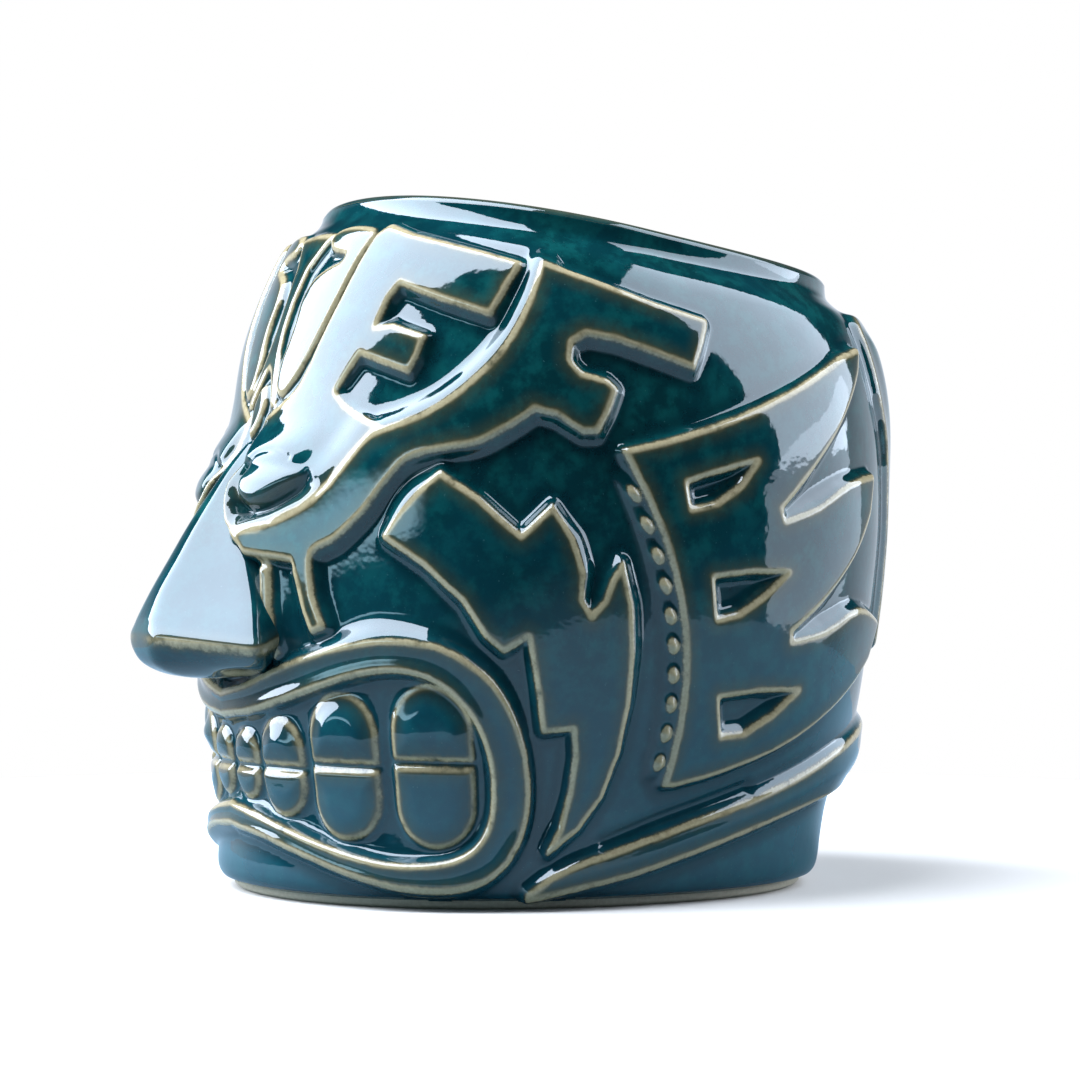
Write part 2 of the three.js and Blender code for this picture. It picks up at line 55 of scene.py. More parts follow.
# Up the wall: height, then the reach from the axis to the front, to the back and to the side.
STATIONS = np.array([
    (1.2, 42.4, 36.9, 36.2), (1.9, 43.5, 38.0, 37.4), (3.4, 43.9, 38.5, 38.0), (7, 43.6, 39.0, 38.4),
    (12, 43.0, 40.0, 38.8), (18, 43.5, 43.0, 40.2), (24, 44.4, 44.4, 41.8), (32, 44.4, 45.4, 43.4),
    (42, 43.6, 46.6, 44.6), (52, 42.0, 47.4, 45.0), (62, 39.4, 47.5, 44.8), (70, 36.8, 47.2, 43.6),
    (76, 34.4, 46.4, 41.8), (80, 32.4, 45.2, 39.8), (82, 31.3, 44.0, 38.2), (83.4, 30.2, 42.5, 36.4),
    (85, 28.5, 41.4, 34.8), (86.6, 27.5, 41.3, 34.6), (88, 27.2, 41.3, 34.6)])
FINE = 0.05             # spacing of the sampled wall profile
BODY_EASE = 1.8         # how far the profile is smoothed over the body
CRISP_EASE = 0.35       # and at the foot's edge and the cove


def hermite(column, heights):
    """A smooth curve through the stations that never overshoots them."""
    x, y = STATIONS[:, 0], STATIONS[:, column]
    slope = np.diff(y) / np.diff(x)
    tangent = np.zeros(len(x))
    tangent[0], tangent[-1] = slope[0], slope[-1]
    product = slope[:-1] * slope[1:]
    total = slope[:-1] + slope[1:]
    safe = np.where(np.abs(total) < 1e-9, 1, total)
    tangent[1:-1] = np.where(product > 0, 2 * product / safe, 0)
    i = np.clip(np.searchsorted(x, heights) - 1, 0, len(x) - 2)
    width = x[i + 1] - x[i]
    t = (heights - x[i]) / width
    keep = (1 + 2 * t) * (1 - t) ** 2
    bend = width * (t * (1 - t) ** 2 * tangent[i] - t * t * (1 - t) * tangent[i + 1])
    return keep * y[i] + (1 - keep) * y[i + 1] + bend


def gaussian(sigma):
    """How far a blur reaches and the weights within that."""
    reach = int(3 * sigma) + 1
    kernel = np.exp(-0.5 * (np.arange(-reach, reach + 1) / sigma) ** 2)
    return reach, kernel / kernel.sum()


def blur_line(values, sigma):
    """Smooths a row of values."""
    reach, kernel = gaussian(sigma)
    return np.convolve(np.pad(values, reach, mode="edge"), kernel, mode="valid")


LEVELS = np.arange(STATIONS[0, 0], RIM_HEIGHT + FINE / 2, FINE)


def smooth_profile(column):
    """The station curve, eased over the body but left crisp at the foot's edge and the cove."""
    raw = hermite(column, LEVELS)
    soft = blur_line(raw, BODY_EASE / FINE)
    firm = blur_line(raw, CRISP_EASE / FINE)
    ease = np.clip((LEVELS - 5) / 4, 0, 1) * np.clip((80 - LEVELS) / 4, 0, 1)
    return firm + (soft - firm) * ease


PROFILES = [smooth_profile(k) for k in (1, 2, 3)]


def sweep(y, h):
    """How far a level line of the wall rises at the front and falls at the back, most of all at the rim."""
    return (SWEEP_CURL * y * y - SWEEP_FALL * y) * (h / RIM_HEIGHT) ** 2


def wall_point(s, h, inset=0.0):
    """Points of the wall at s round the head and height h, moved in by inset in plan."""
    angle = np.asarray(s, float) / GIRTH_RADIUS
    h = np.asarray(h, float)
    front, back, side = (np.interp(h, LEVELS, p) - inset for p in PROFILES)
    c, q = np.cos(angle), np.sin(angle)
    ahead = c > 0
    power = np.where(ahead, SQUARE_FRONT, SQUARE_BACK)
    depth = np.where(ahead, front, back)
    radius = ((np.abs(q) / side) ** power + (np.abs(c) / depth) ** power) ** (-1 / power)
    y = -radius * c
    return np.stack([radius * q, y + AXIS_Y, h + sweep(y, h)], -1)


def wall_normal(s, h):
    """The wall's outward unit normals."""
    round_ = wall_point(np.asarray(s) + 0.3, h) - wall_point(np.asarray(s) - 0.3, h)
    h = np.clip(h, 1.6, RIM_HEIGHT - 0.4)
    up = wall_point(s, h + 0.3) - wall_point(s, h - 0.3)
    n = np.cross(round_, up)
    return n / np.linalg.norm(n, axis=-1, keepdims=True)


def pad_point(s, h, lift):
    """Points that stand off the wall by lift."""
    return wall_point(s, h) + wall_normal(s, h) * np.asarray(lift, float)[..., None]


# ---------------------------------------------------------------- outlines
def spline(points, count, closed=False):
    """An even run of points on the smooth curve through a few."""
    p = np.array(points, float)
    n = len(p)
    if closed:
        p = np.vstack([p[-1], p, p[0], p[1]])
        spans = n
    else:
        p = np.vstack([2 * p[0] - p[1], p, 2 * p[-1] - p[-2]])
        spans = n - 1
    t = np.linspace(0, spans, count, endpoint=not closed)
    i = np.clip(t.astype(int), 0, spans - 1)
    f = (t - i)[:, None]
    a, b, c, d = p[i], p[i + 1], p[i + 2], p[i + 3]
    bend = (2 * a - 5 * b + 4 * c - d) * f ** 2
    twist = (3 * b - a - 3 * c + d) * f ** 3
    return 0.5 * (2 * b + (c - a) * f + bend + twist)


def mirror(run):
    """The same run on the right of the face, from its other end."""
    return (np.array(run, float) * [-1, 1])[::-1]


def both_sides(run):
    """Closes a run that starts and ends on the middle line with its mirror image."""
    return np.vstack([run, mirror(run)[1:-1]])


STEM = both_sides([(0, 82), (7.4, 81.8), (5.2, 80), (2.6, 77.5), (1.7, 73.5), (1.6, 70), (2.2, 67.2),
                   (3.1, 65), (4.3, 62.4), (5.2, 60.8), (3.8, 60.6), (2.4, 62.9), (1.1, 64.6), (0, 65.2)])
LEAF = spline([(20.4, 81.8), (18.6, 78.4), (16.6, 74), (14.4, 70), (12, 66.2), (9.4, 63.4), (6.8, 61.9),
               (4.9, 62.9), (4.4, 65.6), (5.2, 68.2), (5.6, 70.6), (5.4, 73.4), (7, 75.9), (10.4, 77.3),
               (14.2, 78.2), (14.0, 79.3), (9.6, 79.9), (7.6, 80.9), (9.4, 82.2), (14.4, 82.6)], 90, True)
BROW_KEY = [(24.4, 82.4), (30, 81.4), (38, 80.5), (44, 79.8), (49.4, 79.1), (47.4, 76), (45.3, 72.4),
            (38, 73.7), (30.2, 75.3), (28.4, 73.4), (26.9, 69.9), (30, 70.3), (35.6, 69.2), (34.6, 66.8),
            (33.3, 65), (28, 66.1), (24.5, 66.8), (22, 64.2), (20.2, 62.3), (22.2, 60.9), (25, 59.8),
            (28, 58.9), (30.4, 58.2), (28.6, 57.4), (25.4, 54.6), (22, 51.2), (18, 48.4), (13, 46.3),
            (7.4, 45.1), (5.4, 46.2), (4.0, 49), (3.0, 52.4), (2.6, 56), (3.2, 59.2),
            (6.4, 60.4), (9.2, 61.6), (11.4, 63), (13.6, 65.6), (16, 69.4), (18.2, 73.4),
            (20.2, 77.8), (22, 81.2)]
BROW_SWEEP = np.vstack([
    spline([(52.4, 79.4), (50.6, 74.5), (47.6, 69.2), (43.4, 64.8), (38.4, 61.2), (33, 58.9), (28.6, 57.4),
            (25.4, 54.6), (22, 51.2), (18, 48.4), (13, 46.3), (7.4, 45.1)], 44),
    [(9.6, 42.9), (17.2, 42.4)], spline([(18.4, 39.4), (19.4, 36.6), (20.6, 34.2)], 5), [(22.4, 34.8)],
    spline([(20.6, 38.6), (20.2, 43.2), (24, 45.3), (28.2, 48.6), (31.2, 52), (34.6, 55), (40, 56.4),
            (44, 57.3), (48.2, 59.6), (51.4, 61.8)], 34),
    [(54, 61.4), (57.4, 59.7), (59.2, 59.9), (60.6, 62.4), (61.7, 65.2), (60.6, 66.1), (57.4, 66.6),
     (55.9, 68), (56.2, 70.2), (58.2, 71.4), (62, 71.2), (67, 70.2), (72.6, 69), (74.2, 72), (75.8, 75.4),
     (68, 76.4), (59, 78.2)]])
CHEEK_BAND = [(31.3, 45.7), (33, 47.8), (36, 51), (39, 53.6), (44, 51), (49.5, 46.8), (53.5, 50.6),
              (56, 46.8), (57.4, 42.5), (57.2, 39.5), (58.4, 37.6), (60, 39.5), (61, 42), (62.4, 44.2),
              (63.6, 39), (64, 33), (63.8, 27), (62.8, 20.5), (60.8, 15), (57.5, 10.8), (53, 7.6),
              (54.8, 11), (56, 15.5), (56.6, 20), (56.3, 23.7), (52.2, 23.2), (51.6, 28), (50.4, 34.8),
              (47.2, 32.9), (45, 34.6), (42, 38.8), (37, 42.7)]
SMILE_FOLD = [(11.4, 43.2), (12.0, 40), (12.4, 36), (12.8, 33), (13.6, 31), (14.6, 31.6), (14.2, 34.4),
              (13.8, 37), (13.4, 40.2), (12.8, 43.2)]
SIDE_LOCK = spline([(113, 79.6), (121, 81), (127, 77), (129.6, 67), (128.6, 55), (125, 44), (118.6, 33.4),
                    (118, 41), (119, 50), (117.4, 60), (113, 69)], 60, True)
BACK_LOCK = both_sides(spline([(0, 81.6), (5.6, 77.6), (9.6, 68), (10.6, 56), (8.4, 43), (4.4, 34),
                               (0, 28.6)], 30)) + [HALF_ROUND, 0]
LIP_OUTER = both_sides(spline([(0, 26.3), (7, 27.5), (13.5, 29.4), (20, 31.4), (26, 32.9), (32, 33.7),
                               (38, 33.4), (42.6, 31.6), (46.4, 28.4), (49, 23.6), (50.2, 18), (50, 12.4),
                               (48.2, 7.8), (45, 4.6), (40.6, 3.2), (35, 3), (29, 3.6), (23, 4.9),
                               (16, 6.8), (8, 8.5), (0, 9.3)], 80))
LIP_INNER = both_sides(spline([(0, 23.4), (8, 24.2), (14, 25.6), (20, 27.3), (26, 29), (31, 30), (36, 29.8),
                               (40, 28), (43.2, 24.6), (45, 20), (45.3, 14.6), (44.2, 10.2), (41.4, 7.4),
                               (37, 6.2), (31, 6), (25, 6.9), (18, 8.6), (12, 10.2), (6, 11.4),
                               (0, 12.3)], 70))
# Each column of teeth, from the middle outward: middle, half width, foot, bite and top.
TEETH = [(4.1, 3.1, 13.2, 17.3, 21.6), (12.8, 4.2, 11.4, 17.4, 23.5), (24, 5.2, 8.9, 18.2, 27),
         (37.2, 5.5, 8.2, 18.9, 28.4)]
BITE_GAP = 0.5          # from the bite line to either tooth
BEAD_TOP, BEAD_FOOT, BEADS = 54.6, 17.2, 10


def bead_line(h):
    """Where the string of beads stands, round the head, at a height."""
    return 70.5 - 0.0105 * (h - 28) ** 2


FRONT_EDGE = [(bead_line(h) + 1.4, h) for h in np.linspace(16.2, 56.4, 13)]
EAR_PANEL = np.vstack([
    FRONT_EDGE,
    spline([(62.6, 57.9), (70, 60.2), (80, 64), (90, 68.6), (100, 73.6), (106.8, 75.6)], 14),
    spline([(104, 71.8), (98, 65), (92, 58.6), (85.6, 52.2)], 10),
    spline([(86.2, 50.6), (92, 52.6), (99, 56.2), (106, 57.8)], 10),
    spline([(104.6, 52.4), (100.6, 46.4), (95, 41), (88.4, 36.2)], 10),
    spline([(88.6, 34.8), (95, 36), (103, 39), (112, 37.2)], 10),
    spline([(109, 32), (101, 26.4), (91, 21.2), (80, 17.8), (72.2, 16.2)], 14)])
EAR_SLOTS = [
    [(71, 54.7), (76, 56.4), (81.6, 58.2), (79, 54.8), (75.4, 52.4), (71.6, 51.4)],
    [(75.2, 42.9), (81, 43.7), (87, 43.9), (83, 40.6), (79.4, 38.4), (76, 37.6)],
    [(77.4, 27.6), (84, 28.3), (91, 28.3), (87, 25.2), (82.6, 22.9), (78.6, 22.6)]]
NAPE_CREST = spline([(50, 2.6), (56, 5.6), (66, 8.4), (76, 11), (86, 13.5), (96, 16.4), (106, 19.6),
                     (118, 22.4), (132, 23.8), (HALF_ROUND, 24.2)], 60)
NAPE_FOOT = spline([(50, 1.9), (56, 2.8), (66, 4.5), (76, 6.8), (86, 9.2), (96, 11.4), (106, 13), (118, 14),
                    (132, 14.4), (HALF_ROUND, 14.5)], 60)


def round_back(run):
    """Carries a run that ends at the middle of the back on to the other side."""
    return np.vstack([run, (mirror(run)[1:] + [2 * HALF_ROUND, 0])])


NAPE_BELT = np.vstack([round_back(NAPE_CREST), round_back(NAPE_FOOT)[::-1]])
EYE = spline([(4.9, 51.4), (6.2, 53.3), (9.0, 54.3), (12.8, 54.1), (17.9, 52.6), (15.4, 50.3), (11.8, 48.6),
              (8.2, 48.2), (5.8, 49.2)], 60, True)
ALMOND = spline([(0, 63), (1.5, 61.4), (1.6, 59.4), (0, 57), (-1.6, 59.4), (-1.5, 61.4)], 40, True)


# ---------------------------------------------------------------- fields over (s, h)
def signed_distance(loops, s, h):
    """Millimetres inside the nearest edge of a shape; negative outside."""
    best = np.full(s.shape, 1e9)
    inside = np.zeros(s.shape, bool)
    for loop in loops:
        a = np.asarray(loop, float)
        b = np.roll(a, -1, 0)
        for (x0, y0), (x1, y1) in zip(a, b):
            ex, ey = x1 - x0, y1 - y0
            span = ex * ex + ey * ey
            if span < 1e-12:
                continue
            t = np.clip(((s - x0) * ex + (h - y0) * ey) / span, 0, 1)
            best = np.minimum(best, (s - x0 - t * ex) ** 2 + (h - y0 - t * ey) ** 2)
            crosses = (y0 > h) != (y1 > h)
            at = x0 + (h - y0) * ex / (ey if abs(ey) > 1e-12 else 1e-12)
            inside ^= crosses & (s < at)
    return np.sqrt(best) * np.where(inside, 1, -1)


def blur(field, sigma):
    """Smooths a field; sigma is in grid steps."""
    reach, kernel = gaussian(sigma)
    for axis in (0, 1):
        pads = [(0, 0), (0, 0)]
        pads[axis] = (reach, reach)
        padded = np.pad(field, pads, mode="edge")
        size = field.shape[axis]
        field = sum(w * np.take(padded, np.arange(k, k + size), axis=axis) for k, w in enumerate(kernel))
    return field


def smoother(t):
    """From 0 to 1 with no slope or bend at either end."""
    t = np.clip(t, 0, 1)
    return t ** 3 * (t * (6 * t - 15) + 10)


# ---------------------------------------------------------------- the carving, as one field
STEP = 0.25
COLUMNS = round(HALF_ROUND / STEP)
S_LINE = np.linspace(0, HALF_ROUND, COLUMNS + 1)
H_LINE = np.arange(BASE_LIFT, RIM_HEIGHT - 0.5, STEP)
S, H = np.meshgrid(S_LINE, H_LINE)
LIFT = np.zeros(S.shape)
DEPTH = np.full(S.shape, -9.0)      # millimetres inside the nearest crest
BREAK = np.zeros(S.shape)           # how strongly the glaze breaks on that crest
MARGIN = np.full(S.shape, -9.0)     # millimetres inside the nearest member's foot
OWNER = np.full(S.shape, -1)
MEMBERS = []


def window(points, reach):
    """The part of the grid that lies within reach of some points."""
    lo, hi = points.min(0) - reach, points.max(0) + reach
    rows = np.searchsorted(H_LINE, (lo[1], hi[1]))
    columns = np.searchsorted(S_LINE, (lo[0], hi[0]))
    return np.s_[rows[0]:rows[1], columns[0]:columns[1]]


def settle(name, box, d, lift, margin, strength, over=False):
    """Adds one member's relief to the shared fields; one that lies over another takes its place there."""
    LIFT[box] = np.maximum(LIFT[box], lift)
    nearer = np.where(over, d > -0.25, d > DEPTH[box])
    DEPTH[box] = np.where(nearer, d, DEPTH[box])
    BREAK[box] = np.where(nearer, strength, BREAK[box])
    if over:
        kept = smoother((-d - 0.9) / 0.6) * (d <= -0.25)
        BREAK[box] = np.where(nearer, strength * smoother((d + 0.3) / 0.4), BREAK[box] * kept)
    mine = np.where(over, margin > -0.1, margin > MARGIN[box])
    OWNER[box] = np.where(mine, len(MEMBERS), OWNER[box])
    MARGIN[box] = np.maximum(margin, MARGIN[box])
    MEMBERS.append(name)


def carve(name, loops, top=1.5, foot=1.5, crest=0.35, shape=None, strength=1.0, over=False):
    """A member raised by top, with a bevel from foot outside its outline to crest inside it.

    The shape adds to the height from the distance d inside the outline, the strength is how far the glaze
    breaks on the edge, and a member that lies over another takes its place there.
    """
    points = np.vstack([np.asarray(loop, float) for loop in loops])
    box = window(points, 5)
    s, h = S[box], H[box]
    foot = foot(s, h) if callable(foot) else foot
    strength = strength(s, h) if callable(strength) else strength
    d = signed_distance(loops, s, h)
    rise = smoother((d + foot) / (foot + crest))
    lift = top * rise
    if shape is not None:
        lift = lift + shape(s, h, d) * rise
    settle(name, box, d, lift, d + foot, strength, over)


def groove(points, width, depth, count=40):
    """Presses a soft line into whatever is there."""
    run = spline(points, count)
    box = window(run, width * 3)
    s, h = S[box], H[box]
    best = np.full(s.shape, 1e9)
    for (x0, y0), (x1, y1) in zip(run[:-1], run[1:]):
        ex, ey = x1 - x0, y1 - y0
        t = np.clip(((s - x0) * ex + (h - y0) * ey) / (ex * ex + ey * ey), 0, 1)
        best = np.minimum(best, (s - x0 - t * ex) ** 2 + (h - y0 - t * ey) ** 2)
    LIFT[box] -= depth * np.exp(-best / (width * width))


def sample(field, s, h):
    """Reads a field between its grid points."""
    x = np.clip(s / (HALF_ROUND / COLUMNS), 0, COLUMNS - 1e-6)
    y = np.clip((h - H_LINE[0]) / STEP, 0, len(H_LINE) - 1.000001)
    j, i = x.astype(int), y.astype(int)
    u, v = x - j, y - i
    if field.ndim == 3:
        u, v = u[..., None], v[..., None]
    low = field[i, j] * (1 - u) + field[i, j + 1] * u
    high = field[i + 1, j] * (1 - u) + field[i + 1, j + 1] * u
    return low * (1 - v) + high * v


FACE_SWELL = 2.6


def swell(s, h):
    """The middle of the face, from the lips to the brows, stands forward of the head's round."""
    across = 1 - smoother((s - 6) / 20)
    return FACE_SWELL * across * smoother((h - 27) / 8) * (1 - smoother((h - 47) / 14))


# ---------------------------------------------------------------- meshes
def make_mesh(name, verts, faces, depth, breaks, normals=None, material=None):
    """A mesh object with the glaze's fields on its points and, where given, the corner normals."""
    mesh = bpy.data.meshes.new(name)
    mesh.vertices.add(len(verts))
    mesh.vertices.foreach_set("co", (np.asarray(verts) * 0.001).astype(np.float32).ravel())
    blocks = faces if isinstance(faces, list) else [faces]
    sizes = np.concatenate([np.full(len(f), f.shape[1]) for f in blocks])
    flat = np.concatenate([f.ravel() for f in blocks])
    mesh.loops.add(len(flat))
    mesh.loops.foreach_set("vertex_index", flat.astype(np.int32))
    mesh.polygons.add(len(sizes))
    mesh.polygons.foreach_set("loop_start", np.concatenate([[0], np.cumsum(sizes)[:-1]]).astype(np.int32))
    mesh.polygons.foreach_set("loop_total", sizes.astype(np.int32))
    mesh.polygons.foreach_set("use_smooth", np.ones(len(sizes), bool))
    mesh.update(calc_edges=True)
    for label, values in (("depth", depth), ("break", breaks)):
        layer = mesh.attributes.new(label, "FLOAT", "POINT")
        layer.data.foreach_set("value", np.asarray(values, np.float32).ravel())
    if normals is None:
        mesh.set_sharp_from_angle(angle=math.radians(60))
    else:
        mesh.normals_split_custom_set(normals)
    obj = bpy.data.objects.new(name, mesh)
    bpy.context.scene.collection.objects.link(obj)
    obj.data.materials.append(material or GLAZE)
    return obj


UNDER = -0.5            # each member's hidden back lies this far under the wall's skin


def finish_piece(obj, nodes):
    """Ties a piece to the body and to the nodes that it stands for."""
    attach(obj, "root")
    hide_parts(*nodes)


def surface_fields():
    """Points and normals of the carved skin over the grid, and of the hidden backs."""
    skin = pad_point(S, H, LIFT)
    along = np.gradient(skin, axis=1)
    along[:, 0] = skin[:, 1] * [1, 0, 0]
    along[:, -1] = skin[:, -2] * [-1, 0, 0]
    up = np.gradient(skin, axis=0)
    normals = np.cross(along, up)
    normals /= np.linalg.norm(normals, axis=-1, keepdims=True)
    return skin, normals, pad_point(S, H, swell(S, H) + UNDER)


def member_arrays(number, fold=None):
    """A member's closed body, or that of its left half: carved skin, hidden back and sides between them.

    A fold joins the half to its mirror image across the middle of the front or of the back.
    """
    cells = (OWNER[:-1, :-1] == number) & (MARGIN[:-1, :-1] > -0.3)
    rows = np.nonzero(cells.any(1))[0]
    cells = cells[rows[0]:rows[-1] + 1]
    part = np.s_[rows[0]:rows[-1] + 2]
    layers = [SKIN[part], NORMALS[part], BACK[part], DEPTH[part][..., None], BREAK[part][..., None]]
    if fold == "front":
        layers = [np.concatenate([(a * sign)[:, :0:-1], a], 1) for a, sign in zip(layers, SIGNS)]
        cells = np.concatenate([cells[:, ::-1], cells], 1)
    if fold == "back":
        layers = [np.concatenate([a, (a * sign)[:, -2::-1]], 1) for a, sign in zip(layers, SIGNS)]
        cells = np.concatenate([cells, cells[:, ::-1]], 1)
    skin, normal, back, depth, breaks = layers
    used = np.zeros(skin.shape[:2], bool)
    for di in (0, 1):
        for dj in (0, 1):
            used[di:di + cells.shape[0], dj:dj + cells.shape[1]] |= cells
    index = np.full(used.shape, -1)
    count = used.sum()
    index[used] = np.arange(count)
    i, j = np.nonzero(cells)
    quads = np.stack([index[i, j], index[i, j + 1], index[i + 1, j + 1], index[i + 1, j]], 1)
    edges = np.concatenate([quads[:, [k, (k + 1) % 4]] for k in range(4)]).astype(np.int64)
    alone = ~np.isin(edges[:, 0] * (count + 1) + edges[:, 1], edges[:, 1] * (count + 1) + edges[:, 0])
    border = edges[alone]
    sides = np.stack([border[:, 1], border[:, 0], border[:, 0] + count, border[:, 1] + count], 1)
    faces = np.concatenate([quads, quads[:, ::-1] + count, sides])
    corner = np.zeros((faces.size, 3))
    corner[:quads.size] = normal[used][quads.ravel()]
    tiled = [np.concatenate([a[used].ravel()] * 2) for a in (depth, breaks)]
    return np.concatenate([skin[used], back[used]]), faces, tiled[0], tiled[1], corner


MIRROR = np.array([-1, 1, 1])
SIGNS = [MIRROR, MIRROR, MIRROR, 1, 1]      # what mirroring does to each of a member's layers
FOLDS = {"forehead_stem": "front", "forehead_almond": "front", "lips": "front",
         "hair_lock_back": "back", "nape_belt": "back"}


def build_member(number, name):
    """One piece across the middle of the face or nape, or a left piece and its mirror image."""
    if name in FOLDS:
        finish_piece(make_mesh(f"{name}_form", *member_arrays(number, FOLDS[name])), [name])
        return
    verts, faces, depth, breaks, corner = member_arrays(number)
    stem, _, tail = name.partition("@")
    tail = f"_{tail}" if tail else ""
    left = make_mesh(f"{stem}_left{tail}_form", verts, faces, depth, breaks, corner)
    finish_piece(left, [f"{stem}_left{tail}"])
    flipped = corner.reshape(-1, 4, 3)[:, ::-1].reshape(-1, 3) * MIRROR
    right = make_mesh(f"{stem}_right{tail}_form", verts * MIRROR, faces[:, ::-1], depth, breaks, flipped)
    finish_piece(right, [f"{stem}_right{tail}"])


# ---------------------------------------------------------------- glaze
def nodes_of(material):
    """An empty node tree for a material."""
    material.use_nodes = True
    tree = material.node_tree
    tree.nodes.clear()
    return tree


def link(tree, a, b):
    tree.links.new(a, b)


def node(tree, kind, **values):
    n = tree.nodes.new(kind)
    for key, value in values.items():
        setattr(n, key, value)
    return n


def math_node(tree, operation, a, b, clamp=False):
    n = node(tree, "ShaderNodeMath", operation=operation, use_clamp=clamp)
    for k, value in enumerate((a, b)):
        if isinstance(value, (int, float)):
            n.inputs[k].default_value = value
        else:
            link(tree, value, n.inputs[k])
    return n.outputs[0]


def mix_colour(tree, factor, a, b):
    n = node(tree, "ShaderNodeMix", data_type="RGBA")
    for socket, value in ((n.inputs["Factor"], factor), (n.inputs["A"], a), (n.inputs["B"], b)):
        if isinstance(value, tuple):
            socket.default_value = (*value, 1)
        else:
            link(tree, value, socket)
    return n.outputs["Result"]


def noise(tree, where, scale, detail=3.0, rough=0.5):
    n = node(tree, "ShaderNodeTexNoise")
    link(tree, where, n.inputs["Vector"])
    n.inputs["Scale"].default_value = scale
    n.inputs["Detail"].default_value = detail
    n.inputs["Roughness"].default_value = rough
    return n.outputs["Fac"]


def ramp(tree, factor, stops):
    """From 0 at the first stop to 1 at the second, which may be the lower of the two."""
    n = node(tree, "ShaderNodeMapRange")
    n.interpolation_type = "SMOOTHSTEP"
    n.inputs["From Min"].default_value, n.inputs["From Max"].default_value = stops
    link(tree, factor, n.inputs["Value"])
    return n.outputs["Result"]


TEAL = (0.0008, 0.029, 0.032), (0.003, 0.067, 0.064)        # the full coat, dark and light of its mottling
CLOUD = (0.001, 0.038, 0.050)
FLOOR_REFLECTION_TEAL = (0.010, 0.078, 0.108)                            # painted reflection of the pale floor: a bluer, lighter teal low down
POOL = (0.0006, 0.018, 0.024)                               # run thick beside a relief
SPECK = (0.08, 0.19, 0.19)
OLIVE = (0.050, 0.052, 0.025)                               # thinning towards an edge
BROWN = (0.105, 0.082, 0.036)                               # the halo of a break
CREAM = (0.32, 0.235, 0.115), (0.57, 0.465, 0.285)          # broken right through
CLAY_TONES = (0.42, 0.33, 0.22), (0.66, 0.57, 0.43)


def glaze_material():
    """Teal that pools beside a relief, thins to olive and brown and breaks to cream on its edge."""
    material = bpy.data.materials.new("teal_break_glaze")
    tree = nodes_of(material)
    where = node(tree, "ShaderNodeTexCoord").outputs["Object"]
    depth = node(tree, "ShaderNodeAttribute", attribute_name="depth").outputs["Fac"]
    strength = node(tree, "ShaderNodeAttribute", attribute_name="break").outputs["Fac"]
    xyz = node(tree, "ShaderNodeSeparateXYZ")
    link(tree, where, xyz.inputs[0])
    mottling = ramp(tree, noise(tree, where, 300, 5, 0.62), (0.40, 0.66))
    clouds = ramp(tree, noise(tree, where, 70, 3, 0.55), (0.35, 0.7))
    wander = noise(tree, where, 420, 3, 0.6)
    grain = noise(tree, where, 2200, 3, 0.6)
    speck = ramp(tree, noise(tree, where, 2600, 2, 0.5), (0.70, 0.78))
    teal = mix_colour(tree, mottling, *TEAL)
    teal = mix_colour(tree, math_node(tree, "MULTIPLY", clouds, 0.55), teal, CLOUD)
    # painted reflection: the teal turns bluer and lighter towards the table, standing in for the floor's
    # reflection
    low = ramp(tree, xyz.outputs["Z"], (0.056, 0.008))
    teal = mix_colour(tree, math_node(tree, "MULTIPLY", low, 0.6), teal, FLOOR_REFLECTION_TEAL)
    stray = math_node(tree, "SUBTRACT", wander, 0.5)
    apart = math_node(tree, "ADD", depth, stray)        # millimetres inside the crest, with a wandering edge
    pool = math_node(tree, "MULTIPLY", ramp(tree, apart, (-3.4, -1.9)), ramp(tree, apart, (-0.5, -1.3)))
    teal = mix_colour(tree, math_node(tree, "MULTIPLY", pool, 0.55), teal, POOL)
    teal = mix_colour(tree, math_node(tree, "MULTIPLY", speck, 0.30), teal, SPECK)
    inside = math_node(tree, "MULTIPLY", ramp(tree, apart, (-0.7, 0.1)), ramp(tree, apart, (2.8, 0.3)))
    patchy = math_node(tree, "ADD", math_node(tree, "MULTIPLY", grain, 0.7), 0.4)
    inside = math_node(tree, "MULTIPLY", inside, patchy)
    inside = math_node(tree, "MULTIPLY", inside, strength, True)
    olive = mix_colour(tree, math_node(tree, "MULTIPLY", inside, 0.78, True), teal, OLIVE)
    rise = ramp(tree, math_node(tree, "ADD", depth, math_node(tree, "MULTIPLY", grain, 0.25)), (-0.40, 0.20))
    fall = ramp(tree, apart, (1.05, 0.05))
    cream = math_node(tree, "MULTIPLY", math_node(tree, "MULTIPLY", rise, fall), strength)
    uneven = math_node(tree, "SUBTRACT", math_node(tree, "MULTIPLY", wander, 2.0), 0.10)
    cream = math_node(tree, "MULTIPLY", cream, uneven, True)
    tone = mix_colour(tree, grain, *CREAM)
    brown = mix_colour(tree, math_node(tree, "MULTIPLY", cream, 1.8, True), olive, BROWN)
    colour = mix_colour(tree, ramp(tree, cream, (0.22, 0.80)), brown, tone)
    wave = node(tree, "ShaderNodeBump")
    wave.inputs["Strength"].default_value = 0.35
    wave.inputs["Distance"].default_value = 0.0006
    link(tree, noise(tree, where, 75, 1.5, 0.4), wave.inputs["Height"])
    peel = node(tree, "ShaderNodeBump")
    peel.inputs["Strength"].default_value = 0.10
    peel.inputs["Distance"].default_value = 0.0001
    link(tree, noise(tree, where, 900, 1, 0.4), peel.inputs["Height"])
    link(tree, wave.outputs[0], peel.inputs["Normal"])
    shader = node(tree, "ShaderNodeBsdfPrincipled")
    link(tree, colour, shader.inputs["Base Color"])
    shader.inputs["Roughness"].default_value = 0.045
    shader.inputs["IOR"].default_value = 1.62
    link(tree, peel.outputs[0], shader.inputs["Normal"])
    out = node(tree, "ShaderNodeOutputMaterial")
    link(tree, shader.outputs[0], out.inputs[0])
    return material


